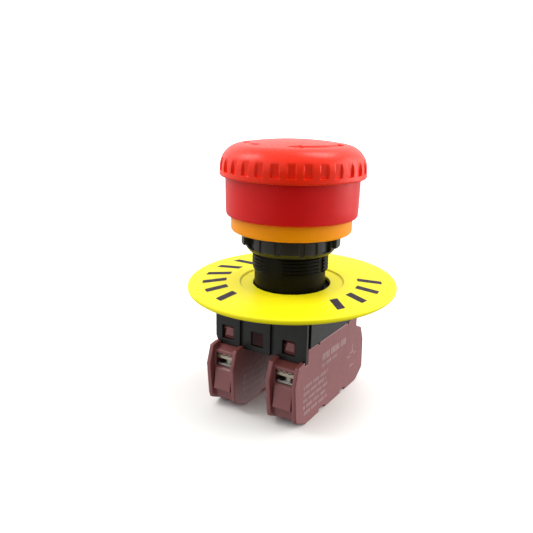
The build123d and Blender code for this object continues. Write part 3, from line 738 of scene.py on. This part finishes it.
def floor_material():
    """White sweep: plain near the object and evenly lit further away, so that no horizon shows."""
    material, tree, shader, space = new_material("pale_floor")
    tree.nodes.remove(space)
    shader.inputs["Base Color"].default_value = (0.93, 0.925, 0.92, 1)
    shader.inputs["Roughness"].default_value = 0.7
    shader.inputs["Specular IOR Level"].default_value = 0.2
    shader.inputs["Emission Color"].default_value = (1, 1, 1, 1)
    coordinates = tree.nodes["Texture Coordinate"]
    reach = tree.nodes.new("ShaderNodeVectorMath")
    reach.operation = "LENGTH"
    glow = tree.nodes.new("ShaderNodeMapRange")
    glow.interpolation_type = "SMOOTHSTEP"
    glow.inputs["From Min"].default_value = FLOOR_GLOW[0]
    glow.inputs["From Max"].default_value = FLOOR_GLOW[1]
    glow.inputs["To Min"].default_value = 0.0
    glow.inputs["To Max"].default_value = FLOOR_STRENGTH
    tree.links.new(coordinates.outputs["Object"], reach.inputs[0])
    tree.links.new(reach.outputs["Value"], glow.inputs["Value"])
    tree.links.new(glow.outputs["Result"], shader.inputs["Emission Strength"])
    return material


def make_floor():
    """Large pale floor under the object."""
    mesh = bpy.data.meshes.new("floor")
    corners = [(FLOOR_REACH * x, FLOOR_REACH * y, 0) for x, y in ((-1, -1), (1, -1), (1, 1), (-1, 1))]
    mesh.from_pydata(corners, [], [(0, 1, 2, 3)])
    floor = bpy.data.objects.new("floor", mesh)
    bpy.context.scene.collection.objects.link(floor)
    floor.data.materials.append(floor_material())
    floor.visible_glossy = False
    floor.visible_diffuse = False


def soft_light(name, direction, distance, size, watts):
    """Square softbox that looks at the object, placed by its direction in the camera's frame."""
    light = bpy.data.lights.new(name, "AREA")
    light.size = size
    light.energy = watts
    side, near, up = direction
    way = (CAMERA_SIDE * side + CAMERA_NEAR * near + Vector((0, 0, up))).normalized()
    obj = bpy.data.objects.new(name, light)
    obj.location = AIM + way * distance
    obj.rotation_euler = (-way).to_track_quat("-Z", "Y").to_euler()
    bpy.context.scene.collection.objects.link(obj)


def make_world():
    """White studio: bright overhead and at both sides, softer behind and dim in front."""
    world = bpy.data.worlds.new("studio")
    bpy.context.scene.world = world
    world.use_nodes = True
    tree = world.node_tree
    background = tree.nodes["Background"]
    coordinates = tree.nodes.new("ShaderNodeTexCoord")
    facing = tree.nodes.new("ShaderNodeVectorMath")
    facing.operation = "DOT_PRODUCT"
    facing.inputs[1].default_value = SKY_AIM
    tree.links.new(coordinates.outputs["Generated"], facing.inputs[0])
    level = tree.nodes.new("ShaderNodeMapRange")
    level.interpolation_type = "SMOOTHSTEP"
    level.inputs["From Min"].default_value = SKY_RANGE[0]
    level.inputs["From Max"].default_value = SKY_RANGE[1]
    level.inputs["To Min"].default_value = SKY_STRENGTH[0]
    level.inputs["To Max"].default_value = SKY_STRENGTH[1]
    tree.links.new(facing.outputs["Value"], level.inputs["Value"])
    sideways = tree.nodes.new("ShaderNodeVectorMath")
    sideways.operation = "DOT_PRODUCT"
    sideways.inputs[1].default_value = CAMERA_SIDE * SIDE_GLOW
    tree.links.new(coordinates.outputs["Generated"], sideways.inputs[0])
    total = tree.nodes.new("ShaderNodeMath")
    total.operation = "MULTIPLY_ADD"
    tree.links.new(sideways.outputs["Value"], total.inputs[0])
    tree.links.new(sideways.outputs["Value"], total.inputs[1])
    tree.links.new(level.outputs["Result"], total.inputs[2])
    seen = tree.nodes.new("ShaderNodeLightPath")
    strength = tree.nodes.new("ShaderNodeMath")
    strength.operation = "MAXIMUM"
    tree.links.new(total.outputs["Value"], strength.inputs[0])
    tree.links.new(seen.outputs["Is Camera Ray"], strength.inputs[1])
    tree.links.new(strength.outputs["Value"], background.inputs["Strength"])
    background.inputs["Color"].default_value = (1, 1, 1, 1)


def make_camera():
    """Camera at the reference view: close, slightly above and with a small roll."""
    camera = bpy.data.objects.new("camera", bpy.data.cameras.new("camera"))
    camera.data.lens = CAMERA_LENS
    camera.data.sensor_width = SENSOR
    camera.data.clip_start, camera.data.clip_end = CLIP
    camera.location = CAMERA_AT
    look = CAMERA_FORWARD.to_track_quat("-Z", "Y").to_matrix()
    camera.rotation_euler = (look @ Matrix.Rotation(math.radians(CAMERA_ROLL), 3, "Z")).to_euler()
    bpy.context.scene.collection.objects.link(camera)
    bpy.context.scene.camera = camera


make_floor()
make_world()
soft_light("left_window", (-0.668, -0.106, 0.736), 0.6, 0.24, 1.1)
soft_light("right_window", (0.344, -0.224, 0.912), 0.6, 0.24, 1.2)
soft_light("right_fill", (1.0, -0.15, 0.25), 0.9, 0.8, 5.0)
soft_light("front_left", (-0.60, 0.80, 0.65), 1.0, 0.8, 1.5)
make_camera()
bpy.context.scene.view_settings.view_transform = "Standard"
